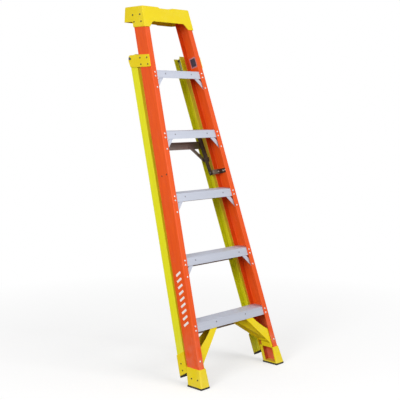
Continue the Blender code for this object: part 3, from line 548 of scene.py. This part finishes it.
def flange_places():
    """Through both flanges at each step's ends, and through the front one at each brace and strut."""
    found = []
    for name, side in SIDES:
        node = f"front_rail_{name}"
        for number, top in enumerate(STEP_TOPS, 1):
            for z in (top - drop for drop in STEP_RIVET_DROPS):
                x = side * (half_width(z) - FLANGE_RIVET_IN)
                behind = Vector((x, front_y(z), z)) - FRONTWARD * (RAIL_DEPTH + REACH)
                found.append(in_front_face(node, x, z))
                found.append(on_surface(node, behind, FRONTWARD))
            if number > 1:
                z = top - BRACE_RIVET_DROP
                found.append(in_front_face(node, side * (half_width(z) - FLANGE_RIVET_IN), z))
        found.append(in_front_face(node, side * FOOT_RIVET_X, FOOT_RIVET_Z))
    return found


def side_places(nodes, spots):
    """Rivets in outer side faces; a spot is a height and a distance behind the rails' front."""
    found = []
    for name, side in SIDES:
        for z, back in spots:
            start = Vector((side * (half_width(z) + REACH), front_y(z, back), z))
            found.append(on_surface(nodes.format(name), start, (-side, 0, 0)))
    return found


def bracket_places():
    """A row of three through each front bracket of the spreaders."""
    found = []
    for name, side in SIDES:
        node = f"spreader_front_bracket_{name}"
        low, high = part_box(node)
        for shift in BRACKET_RIVETS:
            spot = (low + high) / 2 + FRONTWARD * shift
            spot.x = side * BETWEEN_RAILS
            found.append(on_surface(node, spot, (side, 0, 0)))
    return found


rivets("skirt_rivets", skirt_places(), "front_section", DULL_RIVET, SMALL_HEAD)
rivets("flange_rivets", flange_places(), "front_section", PALE_RIVET)
rivets("boot_rivets", side_places("front_foot_{}", BOOT_RIVETS), "front_section", DARK_SHADED_RIVET,
       SMALL_HEAD)
rivets("cap_rivets", side_places("top_cap", CAP_RIVETS), "front_section", DARK_SHADED_RIVET)
rivets("hinge_plate_rivets", side_places("hinge_plate_{}", PLATE_RIVETS), "front_section",
       DARK_SHADED_RIVET)
rivets("spreader_web_rivets", side_places("front_rail_{}", SPREADER_RIVETS), "front_section",
       DARK_SHADED_RIVET, SMALL_HEAD)
rivets("bracket_rivets", bracket_places(), "front_section", PALE_RIVET, BRACKET_HEAD)


# Rivets of the rear section
def rear_flange_places():
    """Through the rear flanges at the ends of each rear bar."""
    found = []
    for number in range(1, REAR_BAR_COUNT + 1):
        low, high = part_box(f"rear_bar_{number}")
        for name, side in SIDES:
            for share in REAR_RIVET_SHARES:
                z = low.z + (high.z - low.z) * share
                spot = Vector((side * (half_width(z) - REAR_RIVET_IN), high.y, z))
                start = spot - REAR_FRONTWARD * REACH
                found.append(on_surface(f"rear_rail_{name}", start, REAR_FRONTWARD))
    return found


rivets("rear_shoe_rivets", side_places("rear_foot_{}", SHOE_RIVETS), "rear_section", DARK_SHADED_RIVET,
       SMALL_HEAD)
rivets("rear_bar_rivets", rear_flange_places(), "rear_section", PALE_RIVET, MIDDLE_HEAD)


# Labels
def on_web(node, side, z, back, outside):
    """A frame on a rail's web: X up the rail, Z away from the web."""
    x = side * (half_width(z) + REACH) if outside else 0
    heading = Vector((-side if outside else side, 0, 0))
    _, point, normal, _ = NODES[node].ray_cast(Vector((x, front_y(z, back), z)), heading)
    along = Vector((-side * TAPER, sin(LEAN), cos(LEAN))).normalized()
    across = normal.cross(along).normalized()
    turn = Matrix((across.cross(normal), across, normal)).transposed().to_4x4()
    return Matrix.Translation(point) @ turn


def web_label():
    """A plain slate label in a pale border, inside the right rail."""
    place = on_web("front_rail_right", 1, LABEL_HEIGHT, LABEL_BACK, False)
    border = film("web_label_border", BORDER_SIZE, BORDER_CORNER, LABEL_CORNER_STEPS, place)
    stick(border, LABEL_BORDER)
    raised = place @ Matrix.Translation((0, 0, FILM_THICK))
    label = film("web_label", LABEL_SIZE, LABEL_CORNER, LABEL_CORNER_STEPS, raised)
    stick(label, LABEL_SLATE)


def rail_stripes():
    """Plain slanted bars up the outside of the left rail."""
    middle = on_web("front_rail_left", -1, BARS_HEIGHT, BARS_BACK, True)
    slant = Matrix.Rotation(BAR_SLANT, 4, "Z")
    bars = []
    for index in range(BAR_COUNT):
        offset = (index - (BAR_COUNT - 1) / 2) * BAR_PITCH
        place = middle @ Matrix.Translation((offset, 0, 0)) @ slant
        bars.append(film("bar", BAR_SIZE, BAR_CORNER, BAR_CORNER_STEPS, place))
    stick(joined(bars, "rail_stripes"), WHITE_FILM)


web_label()
rail_stripes()


# Studio
def studio_floor():
    """Pale paper: seen by the camera it brightens to the backdrop, and it bounces light more weakly."""
    deselect()
    bpy.ops.mesh.primitive_plane_add(size=FLOOR_SIZE, location=(0, 0, -FLOOR_DROP))
    floor = bpy.context.object
    floor.name = "studio_floor"
    made, tree, shader = new_finish("studio_floor")
    shader.inputs["Roughness"].default_value = 0.9
    shader.inputs["Specular IOR Level"].default_value = 0.0
    away = tree.add("ShaderNodeVectorMath", {"operation": "LENGTH"}, Vector=tree.place())
    far = tree.spread(away.outputs["Value"], *FLOOR_FADE)
    seen = tree.add("ShaderNodeLightPath").outputs["Is Camera Ray"]
    paper = tree.blend(far, FLOOR_SEEN, (0, 0, 0, 1))
    tree.feed(shader.inputs["Base Color"], tree.blend(seen, FLOOR_BOUNCE, paper))
    shader.inputs["Emission Color"].default_value = (1, 1, 1, 1)
    glow = tree.maths("MULTIPLY", seen, tree.spread(far, 0.0, 1.0, FLOOR_GLOW, 1.0))
    tree.feed(shader.inputs["Emission Strength"], glow)
    dress(floor, made)


def backdrop():
    """White to the camera, and a weaker light from all round to the ladder."""
    world = bpy.data.worlds.new("pale_studio")
    world.use_nodes = True
    tree = Tree(world.node_tree)
    background = world.node_tree.nodes["Background"]
    background.inputs["Color"].default_value = (1.0, 1.0, 1.0, 1)
    seen = tree.add("ShaderNodeLightPath").outputs["Is Camera Ray"]
    tree.feed(background.inputs["Strength"], tree.spread(seen, 0.0, 1.0, FILL, 1.0))
    bpy.context.scene.world = world


def soft_lamp(name, place, size, power):
    data = bpy.data.lights.new(name, "AREA")
    data.energy = power
    data.size = size
    lamp = bpy.data.objects.new(name, data)
    lamp.location = place
    lamp.rotation_euler = (Vector(LAMP_AIM) - Vector(place)).to_track_quat("-Z", "Y").to_euler()
    bpy.context.scene.collection.objects.link(lamp)


def camera():
    data = bpy.data.cameras.new("camera")
    data.lens = CAMERA_LENS
    made = bpy.data.objects.new("camera", data)
    made.location = CAMERA_PLACE
    made.rotation_euler = CAMERA_TURN
    bpy.context.scene.collection.objects.link(made)
    bpy.context.scene.camera = made


studio_floor()
backdrop()
for lamp_values in LAMPS:
    soft_lamp(*lamp_values)
camera()
bpy.context.scene.view_settings.view_transform = "Standard"
